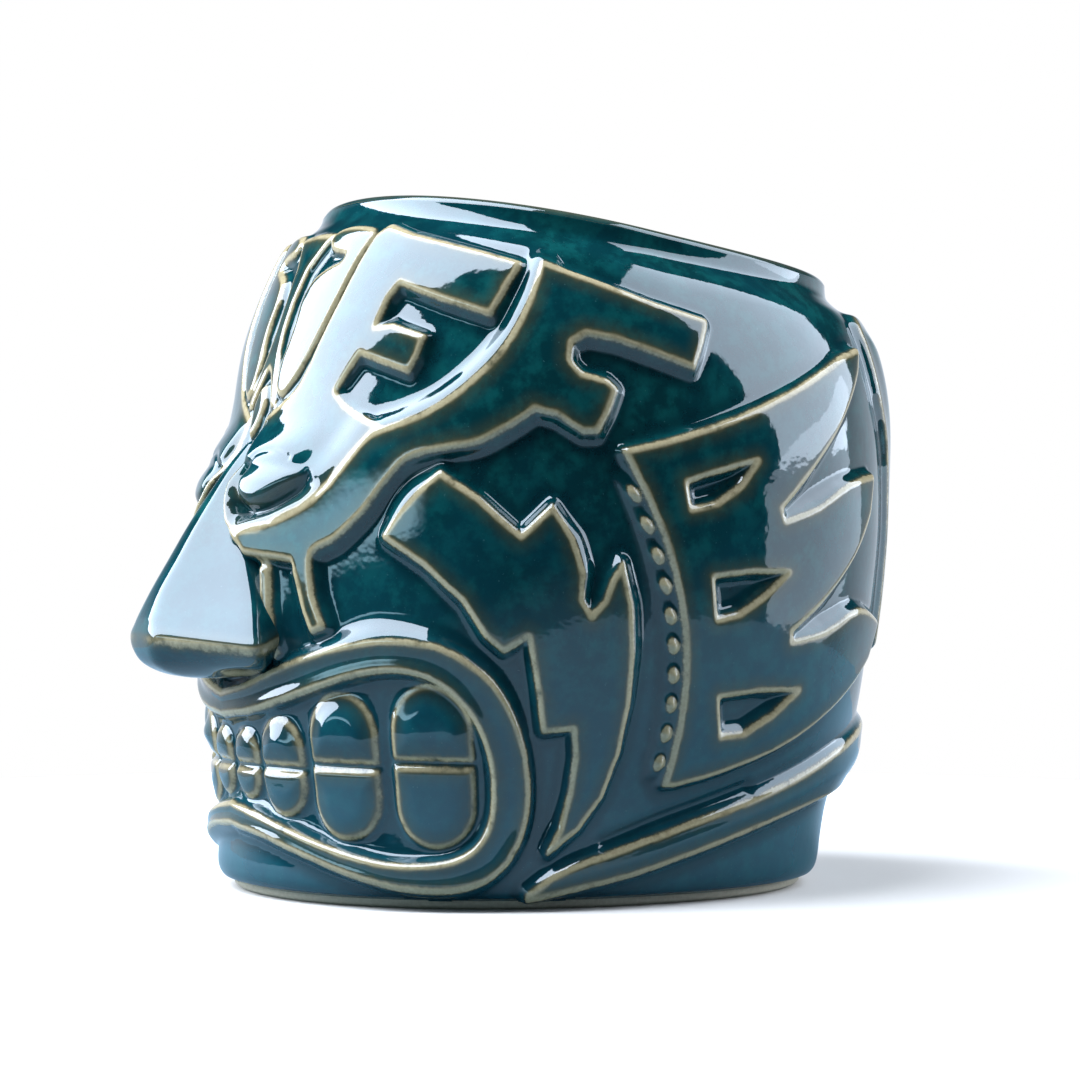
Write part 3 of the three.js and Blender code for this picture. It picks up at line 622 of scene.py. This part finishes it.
def clay_material():
    """The unglazed foot ring."""
    material = bpy.data.materials.new("bare_clay")
    tree = nodes_of(material)
    where = node(tree, "ShaderNodeTexCoord").outputs["Object"]
    grain = noise(tree, where, 1800, 4, 0.6)
    colour = mix_colour(tree, grain, *CLAY_TONES)
    bump = node(tree, "ShaderNodeBump")
    bump.inputs["Strength"].default_value = 0.4
    bump.inputs["Distance"].default_value = 0.0001
    link(tree, grain, bump.inputs["Height"])
    shader = node(tree, "ShaderNodeBsdfPrincipled")
    link(tree, colour, shader.inputs["Base Color"])
    shader.inputs["Roughness"].default_value = 0.85
    link(tree, bump.outputs[0], shader.inputs["Normal"])
    out = node(tree, "ShaderNodeOutputMaterial")
    link(tree, shader.outputs[0], out.inputs[0])
    return material


GLAZE = glaze_material()
CLAY = clay_material()

# ---------------------------------------------------------------- the carved members
def brow_form(s, h, d):
    """Round the eye: a socket inside the orbit's rim, a full lid over it, a fall from the sweep's crest."""
    away = -signed_distance([EYE], s, h)
    below_lid = smoother((55.0 - h - 0.1 * s) / 3.5)
    sunk = (1 - smoother((away - 1) / 6)) * smoother((d - 0.3) / 2.2) * below_lid
    off = -signed_distance([BROW_SWEEP], s, h)
    fall = smoother(off / 6) * (1 - smoother((h - 58) / 14)) * smoother((h - 50) / 4)
    lid = np.exp(-((h - 55.2) / 3.2) ** 2) * smoother((s - 1) / 4) * (1 - smoother((s - 10) / 16))
    rim = (1 - smoother((s - 4) / 10)) * (1 - smoother((h - 48.5) / 8))
    return 1.2 * rim - (1.3 + 1.2 * rim) * sunk - 0.9 * fall + 1.2 * lid * smoother(d / 2)


def eye_form(s, h, d):
    """The eye: a broad upper facet that leans back under the lid and a short lower one."""
    facet = np.minimum(0.26 * (54.4 - h), 0.66 + 0.04 * (h - 48))
    return facet * smoother(d / 1.6)


def wider(base, *places):
    """A bevel's width that grows to its extra near each place (s, h, reach along s, reach along h, extra)."""
    def foot(s, h):
        return base + sum(extra * np.exp(-((s - at_s) / reach_s) ** 2 - ((h - at_h) / reach_h) ** 2)
                          for at_s, at_h, reach_s, reach_h, extra in places)
    return foot


def sweep_foot(s, h):
    """The sweep's upper edge rolls down in a bevel twice as wide as the lower one's."""
    return 1.7 + 1.9 * smoother((h - 55.2 - 0.55 * (s - 30)) / 1.5) * smoother((56 - s) / 2)


carve("forehead_stem", [STEM], top=0.9, foot=1.1, crest=0.3)
carve("forehead_almond", [ALMOND], top=1.1, foot=0.9, crest=0.3)
carve("forehead_leaf", [LEAF], top=1.1, foot=0.9, crest=0.3)
carve("brow_key", [BROW_KEY], top=1.6, shape=brow_form)
carve("brow_sweep", [BROW_SWEEP], top=1.7, foot=sweep_foot,
      shape=lambda s, h, d: 1.2 * (1 - smoother((s - 4) / 10)))
carve("cheek_band", [CHEEK_BAND], top=1.7,
      foot=wider(1.5, (33, 51, 5, 4, 1.9), (58, 46, 3, 6, 1.2), (66, 36, 3, 10, 1.0)))
carve("smile_fold", [SMILE_FOLD], top=1.2, foot=0.9, crest=0.3)
carve("ear_panel", [EAR_PANEL, *EAR_SLOTS], top=1.6,
      foot=wider(1.3, (96, 52, 9, 4, 1.6), (96, 35, 9, 4, 1.6)))
carve("hair_lock", [SIDE_LOCK], top=1.2, strength=0.6, shape=lambda s, h, d: 0.5 * smoother(d / 6))
carve("hair_lock_back", [BACK_LOCK], top=1.2, strength=0.6, shape=lambda s, h, d: 0.6 * smoother(d / 8))
carve("lips", [LIP_OUTER, LIP_INNER], top=1.9, foot=wider(1.5, (30, 36, 9, 4, 2.0)), crest=0.4,
      shape=lambda s, h, d: -0.35 * smoother(d / 2.2))
carve("nape_belt", [NAPE_BELT], top=1.3, foot=1.3, crest=0.4,
      shape=lambda s, h, d: 0.5 * smoother(d / 4.5))
carve("eye", [EYE], top=1.4, foot=0.8, crest=0.4, over=True,
      strength=lambda s, h: 0.75 * smoother((53.2 - h) / 2.5), shape=eye_form)


def tooth_outline(column, upper):
    """A straight bite edge and a rounded root."""
    middle, half, foot, bite, top = column
    flat = bite + BITE_GAP if upper else bite - BITE_GAP
    end = top if upper else foot
    sign = 1 if upper else -1
    bend = min(half, abs(end - flat) * 0.7)
    turn = np.linspace(0, math.pi, 17)
    arc = np.stack([middle + half * np.cos(turn), end - sign * bend * (1 - np.sin(turn))], 1)
    return np.vstack([[(middle - half, flat), (middle + half, flat)], arc])


def tooth_form(dome, bend_height, lean):
    """A tooth's domed face, which above the bend leans back by the lean, or forward if it is negative."""
    return lambda s, h, d: dome * smoother(d / 3.2) - lean * np.maximum(h - bend_height, 0)


for place, tooth in enumerate(TEETH, 1):
    for jaw in ("upper", "lower"):
        bite = tooth[3]
        form = tooth_form(0.7, bite + 3.2, 0.15) if jaw == "upper" else tooth_form(0.4, bite - 3.2, -0.12)
        carve(f"tooth_{jaw}@{place}", [tooth_outline(tooth, jaw == "upper")], top=1.0, foot=0.9, crest=0.6,
              strength=0.75, shape=form)


def bead_strip():
    """A low ridge with beads strung along it."""
    box = window(np.array([(61.0, BEAD_FOOT), (70.6, BEAD_TOP)]), 2.5)
    s, h = S[box], H[box]
    across = s - bead_line(h) + 0.1
    ends = np.minimum(h - BEAD_FOOT, BEAD_TOP - h)
    d_strip = np.minimum(1.15 - np.abs(across), ends)
    apart = np.full(s.shape, 9.0)
    for k in range(BEADS):
        centre = BEAD_FOOT + (k + 0.5) * (BEAD_TOP - BEAD_FOOT) / BEADS
        apart = np.minimum(apart, np.hypot(across / 0.8, (h - centre) / 1.05))
    lift = 0.55 * smoother((d_strip + 0.9) / 1.3) + 0.95 * smoother((1.35 - apart) / 1.2)
    settle("bead_strip", box, np.minimum(0.75 - apart, 0.2), lift, d_strip + 0.9, 1.3)


bead_strip()
LIFT = blur(LIFT, 0.32 / STEP) + swell(S, H)
DEPTH = blur(DEPTH, 0.15 / STEP)
EYE_BOX = window(EYE, 3)
DEPTH[EYE_BOX] = blur(DEPTH[EYE_BOX], 0.45 / STEP)
groove([(5.0, 52.8), (4.6, 51.2), (5.2, 49.4), (7.6, 47.9)], 0.8, 0.5)                   # the eye's corner
groove([(6, 48.4), (8.4, 47.6), (12, 48.2), (15.6, 50.0), (18.2, 52.2)], 0.6, 0.5)      # under the eye
groove([(5.6, 53.2), (7.6, 54.5), (11, 54.9), (14.4, 54.2)], 0.4, 0.22)                 # under the lid
groove([(9.8, 41.9), (13, 41.9), (16.8, 41.7)], 0.55, 0.5)                              # the brow's foot
groove([(62, 8.7), (70, 11.2), (78, 13.2), (86, 15.2)], 1.0, 0.5)                       # along the belt
BREAK = blur(BREAK, 0.4 / STEP)
SKIN, NORMALS, BACK = surface_fields()
for order, member in enumerate(MEMBERS):
    build_member(order, member)


# ---------------------------------------------------------------- nose
# Down the ridge and round the tip: ridge depth and height, half width of the flat front, the edge of the
# flank (half width, depth), where the side meets the face (s, h).
NOSE_RINGS = [
    (-42.2, 60.4, 0.6, 1.4, -41.8, 1.5, 58.6), (-45.2, 56.8, 0.9, 2.4, -44.0, 2.4, 56.6),
    (-48.0, 52.8, 1.3, 4.3, -45.5, 4.0, 52.6), (-50.4, 49.2, 1.7, 6.5, -46.4, 6.0, 49.0),
    (-52.9, 45.0, 2.0, 9.4, -46.7, 9.0, 44.8), (-55.3, 41.0, 2.2, 12.1, -47.0, 11.8, 40.8),
    (-56.9, 37.6, 3.0, 14.6, -47.6, 13.4, 37.0), (-57.3, 36.2, 3.7, 15.4, -47.9, 13.9, 35.4),
    (-57.6, 34.8, 4.4, 16.2, -48.1, 14.2, 34.0), (-57.5, 33.0, 3.8, 15.0, -47.0, 13.6, 32.4),
    (-56.4, 31.1, 2.9, 12.8, -45.7, 12.0, 31.0), (-53.6, 29.7, 2.2, 10.0, -44.9, 9.4, 30.0),
    (-49.8, 29.1, 1.6, 6.6, -44.2, 5.6, 29.4), (-44.2, 29.3, 0.8, 3.0, -43.4, 2.0, 29.0)]
NOSE_CREST = 8.0        # the ring, counted from the bridge, where the flanks turn under
NOSE_SAG = 1.5          # how far the flank's lower edge falls from the tip to the nostril
NOSE_SAG_REACH = 2.2    # rings either side of the crest over which it does so
NOSE_SLANT = 0.81       # how far it moves outward for each millimetre that it falls, to keep the flank flat
NOSE_ROWS = 150
NOSE_HALF_COLUMNS = 56
NOSTRIL = (0.58, 11.2)  # its middle: share of the way round the ring, and the ring


def nose():
    """A wedge: flat ridge, flat flanks, a turned-under base with nostrils."""
    rows, half_columns = NOSE_ROWS, NOSE_HALF_COLUMNS
    rings = len(NOSE_RINGS) - 1
    table = spline(NOSE_RINGS, rows)
    ridge_y, ridge_z, front, edge_x, edge_y, base_s, base_h = table.T
    foot = pad_point(base_s, base_h, np.full(rows, -0.8))
    v = np.linspace(0, 1, half_columns)
    grid = np.zeros((rows, half_columns, 3))
    for k in range(rows):
        y, z = ridge_y[k] + AXIS_Y, ridge_z[k]
        sag = NOSE_SAG * math.exp(-((k * rings / (rows - 1) - NOSE_CREST) / NOSE_SAG_REACH) ** 2)
        corner = np.array([edge_x[k] + NOSE_SLANT * sag, edge_y[k] + AXIS_Y, z - sag])
        line = np.array([[0, y, z], [front[k], y + 0.05, z], corner, foot[k]])
        grid[k] = np.stack([np.interp(v, (0, 0.14, 0.68, 1), line[:, axis]) for axis in range(3)], 1)
    full = np.concatenate([(grid * MIRROR)[:, :0:-1], grid], 1)
    columns = full.shape[1]
    keep = np.clip(np.minimum(np.arange(columns), columns - 1 - np.arange(columns)) / 6, 0, 1)[None, :, None]
    soft = np.stack([blur(full[..., axis], 2.0) for axis in range(3)], -1)
    full = full + (soft - full) * keep
    across = np.abs(np.linspace(-1, 1, columns))
    t = np.linspace(0, rings, rows)[:, None] * np.ones((1, columns))
    hollow = 0.2 * np.exp(-((across - 0.42) / 0.2) ** 2)[None, :]
    hollow = hollow * smoother(t / 4) * smoother((NOSE_CREST - t) / 2)
    nostril = 1.3 * np.exp(-((across - NOSTRIL[0]) / 0.13) ** 2)[None, :]
    nostril = nostril * np.exp(-((t - NOSTRIL[1]) / 0.8) ** 2)
    full[..., 1] += hollow
    full[..., 2] += nostril
    lean = full[:, -1:] - full[:, :1]
    backing = full[:, :1] + lean * np.linspace(0, 1, columns)[None, :, None] + [0, 1.2, 0]
    verts = np.concatenate([full.reshape(-1, 3), backing.reshape(-1, 3)])
    count = rows * columns
    i, j = np.meshgrid(np.arange(rows - 1), np.arange(columns - 1), indexing="ij")
    a = (i * columns + j).ravel()
    quads = np.stack([a, a + columns, a + columns + 1, a + 1], 1)
    down = quads[:, ::-1] + count
    steps = np.arange(rows - 1)
    turns = np.arange(columns - 1)
    last = (rows - 1) * columns
    border = np.concatenate([
        np.stack([steps * columns, (steps + 1) * columns], 1),
        np.stack([(steps + 1) * columns + columns - 1, steps * columns + columns - 1], 1),
        np.stack([turns + 1, turns], 1), np.stack([last + turns, last + turns + 1], 1)])
    sides = np.stack([border[:, 1], border[:, 0], border[:, 0] + count, border[:, 1] + count], 1)
    faces = np.concatenate([quads, down, sides])
    depth = np.where(t < NOSE_CREST, 0.15 + (NOSE_CREST - t) * 1.9, 0.15 - (t - NOSE_CREST) * 0.62)
    depth = np.where((t > NOSE_CREST) & (across > 0.9)[None, :], -3, depth).ravel()
    near_roll = np.hypot((across - NOSTRIL[0])[None, :] / 0.16, (t - NOSTRIL[1]) / 1.1)
    depth = np.maximum(depth, (0.8 - 1.1 * near_roll).ravel())
    breaks = np.tile(0.2 + 0.6 * smoother(across / 0.3), 2 * rows)
    obj = make_mesh("nose_form", verts, faces, np.tile(depth, 2), breaks)
    finish_piece(obj, ["nose"])


nose()


# ---------------------------------------------------------------- head shell
SHELL_COLUMNS = 642
RING_COLUMNS = 240


def head_shell():
    """The cup: underside, carved outside, rolled rim, cove, inside wall and floor."""
    columns = SHELL_COLUMNS
    s = np.arange(columns) * 2 * HALF_ROUND / columns
    s_near = np.where(s > HALF_ROUND, 2 * HALF_ROUND - s, s)
    side = np.where(s > HALF_ROUND, -1, 1)[:, None] * [1, 0, 0] + [0, 1, 1]
    points, normals, depths, breaks = [], [], [], []        # one entry a ring, a row over every column

    def ring(h, inset=0.0, drop=0.0, depth=-4.0, glaze_break=0.0):
        p = wall_point(s, np.full(columns, float(h)), inset)
        p[:, 2] -= drop
        points.append(p)
        normals.append(np.zeros((columns, 3)))
        depths.append(np.full(columns, depth))
        breaks.append(np.full(columns, glaze_break))

    def carved_ring(h):
        heights = np.full(columns, h)
        margin = sample(MARGIN, s_near, heights)
        lift = sample(LIFT, s_near, heights)
        lift = np.where(margin > 0.5, np.minimum(lift, swell(s_near, heights)), lift)
        lift = lift - 0.45 * smoother((margin - 0.5) / 0.8)
        points.append(pad_point(s_near, heights, lift) * side)
        normals.append(sample(NORMALS, s_near, heights) * side)
        depths.append(sample(DEPTH, s_near, heights))
        breaks.append(sample(BREAK, s_near, heights))

    # The underside, its bevel and the foot's edge.
    for inset in (30, 20, 12, 6, 4.6):
        ring(BASE_LIFT, inset)
    for turn in np.linspace(0, 1, 7):
        ring(BASE_LIFT, 4.2 - 3.6 * turn)
    for turn in np.linspace(0.25, 1, 4):
        ring(BASE_LIFT + 0.5 * turn, 0.6 * (1 - turn))
    # The outside, closer together where the cove turns in, and the rolled rim.
    for h in np.concatenate([np.arange(1.9, 80, 0.45), np.arange(80, 86.9, 0.3)]):
        carved_ring(h)
    for turn in np.linspace(0.08, 0.92, 12):
        lean = math.pi * turn
        ring(RIM_HEIGHT, WALL * 0.36 * (1 - math.cos(lean)), 1.2 * (1 - math.sin(lean)),
             1.2 - 0.9 * math.sin(lean), 0.45)
    # The inside, down to the floor.
    for turn in np.linspace(0, 1, 8):
        ring(86.6 - 2.6 * turn, WALL * (0.75 + 0.25 * smoother(turn)))
    for h in np.arange(83, FLOOR + 4.5, -1.6):
        ring(h, WALL)
    for turn in np.linspace(0.1, 1, 8):
        bend = turn * math.pi / 2
        ring(FLOOR + FLOOR_FILLET * (1 - math.sin(bend)), WALL + FLOOR_FILLET * (1 - math.cos(bend)))
    for inset in (12, 17, 23, 29):
        ring(FLOOR, inset)
    grid = np.array(points)
    count = len(grid)
    verts = np.vstack([grid.reshape(-1, 3), grid[0].mean(0), grid[-1].mean(0)])
    i, j = np.meshgrid(np.arange(count - 1), np.arange(columns), indexing="ij")
    here = (i * columns + j).ravel()
    after = (i * columns + (j + 1) % columns).ravel()
    quads = np.stack([here, after, after + columns, here + columns], 1)
    step = np.arange(columns)
    top_row = (count - 1) * columns
    low = np.stack([np.full(columns, count * columns), (step + 1) % columns, step], 1)
    summit = np.full(columns, count * columns + 1)
    high = np.stack([summit, top_row + step, top_row + (step + 1) % columns], 1)
    smooth = np.vstack([np.array(normals).reshape(-1, 3), np.zeros((2, 3))])
    corner = np.concatenate([smooth[f.ravel()] for f in (quads, low, high)])
    depth = np.append(np.array(depths).ravel(), [-4, -4])
    glaze_break = np.append(np.array(breaks).ravel(), [0, 0])
    obj = make_mesh("head_shell_form", verts, [quads, low, high], depth, glaze_break, corner)
    finish_piece(obj, ["head_shell"])


head_shell()


def foot_ring():
    """The bare ring that the mug stands on."""
    section = [(3.7, 0.15), (3.5, 0.02), (3.3, 0), (1.9, 0), (1.6, 0.05), (1.2, 0.3), (1.0, 0.55), (1.0, 1.3),
               (4.3, 1.3), (4.3, 0.5), (4.0, 0.25)]
    columns = RING_COLUMNS
    s = np.arange(columns) * 2 * HALF_ROUND / columns
    rows = []
    for inset, z in section:
        p = wall_point(s, np.full(columns, BASE_LIFT), inset)
        p[:, 2] = z
        rows.append(p)
    verts = np.concatenate(rows)
    faces = []
    for k in range(len(section)):
        up = (k + 1) % len(section)
        for j in range(columns):
            n = (j + 1) % columns
            faces.append([k * columns + j, k * columns + n, up * columns + n, up * columns + j])
    blank = np.zeros(len(verts))
    obj = make_mesh("foot_ring_form", verts, np.array(faces), blank, blank, None, CLAY)
    finish_piece(obj, ["foot_ring"])


foot_ring()

# ---------------------------------------------------------------- studio
def stage_material(name, seen, mirrored, rough):
    """A pale paper that looks white, and that the glaze reflects as a dim blue one."""
    material = bpy.data.materials.new(name)
    tree = nodes_of(material)
    where = node(tree, "ShaderNodeTexCoord").outputs["Object"]
    tone = mix_colour(tree, noise(tree, where, 6, 2), seen, tuple(c * 0.99 for c in seen))
    direct = node(tree, "ShaderNodeLightPath").outputs["Is Camera Ray"]
    tone = mix_colour(tree, direct, mirrored, tone)
    shader = node(tree, "ShaderNodeBsdfPrincipled")
    link(tree, tone, shader.inputs["Base Color"])
    shader.inputs["Roughness"].default_value = rough
    out = node(tree, "ShaderNodeOutputMaterial")
    link(tree, shader.outputs[0], out.inputs[0])
    return material


TABLE = 0.20            # the table's radius; the room beyond it is dim
PAPER = (0.84, 0.76, 0.69)
PAPER_MIRRORED = (0.20, 0.27, 0.31)
SKY_TINT = (0.72, 0.84, 1.0)
ROOM_DARK = (0.016, 0.020, 0.024)
ROOM_LOW = (0.17, 0.26, 0.34)
ROOM_WHITE = (0.80, 0.88, 1.0)
STRIP_LIGHT = (2.4, 4.0, 4.9)
VIEW_ANGLE = math.radians(63)       # of the camera, from the front of the face


def stage():
    """The table under the mug."""
    mesh = bpy.data.meshes.new("floor")
    turns = [2 * math.pi * k / 96 for k in range(96)]
    mesh.from_pydata([(TABLE * math.cos(a), TABLE * math.sin(a), 0) for a in turns], [], [tuple(range(96))])
    floor = bpy.data.objects.new("floor", mesh)
    bpy.context.scene.collection.objects.link(floor)
    floor.data.materials.append(stage_material("pale_floor", PAPER, PAPER_MIRRORED, 0.9))


stage()


def toward_sky(azimuth, elevation):
    """A direction from the front of the face round to its left, and up."""
    a, e = math.radians(azimuth), math.radians(elevation)
    return Vector((math.sin(a) * math.cos(e), -math.cos(a) * math.cos(e), math.sin(e)))


def softbox(name, edge_from, edge_to, side, breadth, radiance, distance=1.1):
    """A flat softbox whose one long edge runs between two directions, seen from the mug.

    It lies to the side 1 or -1 of that edge and is breadth degrees wide.
    """
    start, end = toward_sky(*edge_from), toward_sky(*edge_to)
    across = start.cross(end).normalized() * side
    middle = (start + end).normalized()
    half_length = math.tan(start.angle(end) / 2)
    centre = (middle + across * math.tan(math.radians(breadth / 2))).normalized()
    data = bpy.data.lights.new(name, "AREA")
    data.shape = "RECTANGLE"
    data.size = 2 * half_length * distance
    data.size_y = 2 * math.tan(math.radians(breadth / 2)) * distance
    data.energy = radiance * math.pi * data.size * data.size_y
    data.color = SKY_TINT
    light = bpy.data.objects.new(name, data)
    bpy.context.scene.collection.objects.link(light)
    light.location = Vector((0, 0, 0.05)) + centre * distance
    z_axis = centre
    x_axis = (end - start).normalized()
    y_axis = z_axis.cross(x_axis).normalized()
    x_axis = y_axis.cross(z_axis)
    light.rotation_euler = Matrix((x_axis, y_axis, z_axis)).transposed().to_euler()


softbox("left_softbox", (-30.6, 0), (50, 56), 1, 46, 12.0)
softbox("right_softbox", (141, 1), (117, 58), -1, 46, 5.6)
softbox("right_fill", (141, -20), (134, 2), -1, 46, 2.4)

world = bpy.data.worlds.new("studio")
bpy.context.scene.world = world
world.use_nodes = True
wt = world.node_tree
wt.nodes.clear()


def room():
    """A dim room, paler low down, with a strip light in front, white behind, plain white to the camera."""
    where = node(wt, "ShaderNodeTexCoord").outputs["Generated"]
    split = node(wt, "ShaderNodeSeparateXYZ")
    link(wt, where, split.inputs[0])
    behind = node(wt, "ShaderNodeVectorMath", operation="DOT_PRODUCT")
    link(wt, where, behind.inputs[0])
    behind.inputs[1].default_value = (-math.sin(VIEW_ANGLE), math.cos(VIEW_ANGLE), 0.0)
    white = ramp(wt, behind.outputs["Value"], (0.0, 0.75))
    white = math_node(wt, "MULTIPLY", white, ramp(wt, split.outputs["Z"], (0.36, 0.12)))
    low = ramp(wt, split.outputs["Z"], (-0.06, -0.24))
    colour = mix_colour(wt, low, ROOM_DARK, ROOM_LOW)
    colour = mix_colour(wt, white, colour, ROOM_WHITE)
    above = ramp(wt, split.outputs["Z"], (0.092, 0.118))
    strip = math_node(wt, "MULTIPLY", above, ramp(wt, split.outputs["Z"], (0.26, 0.18)))
    strip = math_node(wt, "MULTIPLY", strip, ramp(wt, split.outputs["Y"], (-0.91, -0.955)))
    colour = mix_colour(wt, strip, colour, STRIP_LIGHT)
    seen = node(wt, "ShaderNodeLightPath").outputs["Is Camera Ray"]
    colour = mix_colour(wt, seen, colour, (1.0, 1.0, 1.0))
    background = node(wt, "ShaderNodeBackground")
    link(wt, colour, background.inputs["Color"])
    out = node(wt, "ShaderNodeOutputWorld")
    link(wt, background.outputs[0], out.inputs[0])


room()

# ---------------------------------------------------------------- camera
CAMERA_DISTANCE = 0.450
CAMERA_HEIGHT = 0.050
CAMERA_LENS = 107.5
SENSOR_WIDTH = 36
AIM_ASIDE, AIM_HEIGHT = 0.0014, 0.0472      # where it looks, from the wall's axis at the table
toward = Vector((math.sin(VIEW_ANGLE), -math.cos(VIEW_ANGLE), 0))
beside = Vector((math.cos(VIEW_ANGLE), math.sin(VIEW_ANGLE), 0))
data = bpy.data.cameras.new("camera")
data.sensor_width = SENSOR_WIDTH
data.lens = CAMERA_LENS
camera = bpy.data.objects.new("camera", data)
bpy.context.scene.collection.objects.link(camera)
axis_point = Vector((0, AXIS_Y / 1000, 0))
camera.location = axis_point + toward * CAMERA_DISTANCE + Vector((0, 0, CAMERA_HEIGHT))
aim = axis_point + beside * AIM_ASIDE + Vector((0, 0, AIM_HEIGHT))
camera.rotation_euler = (aim - camera.location).to_track_quat("-Z", "Y").to_euler()
bpy.context.scene.camera = camera
bpy.context.scene.view_settings.view_transform = "Standard"
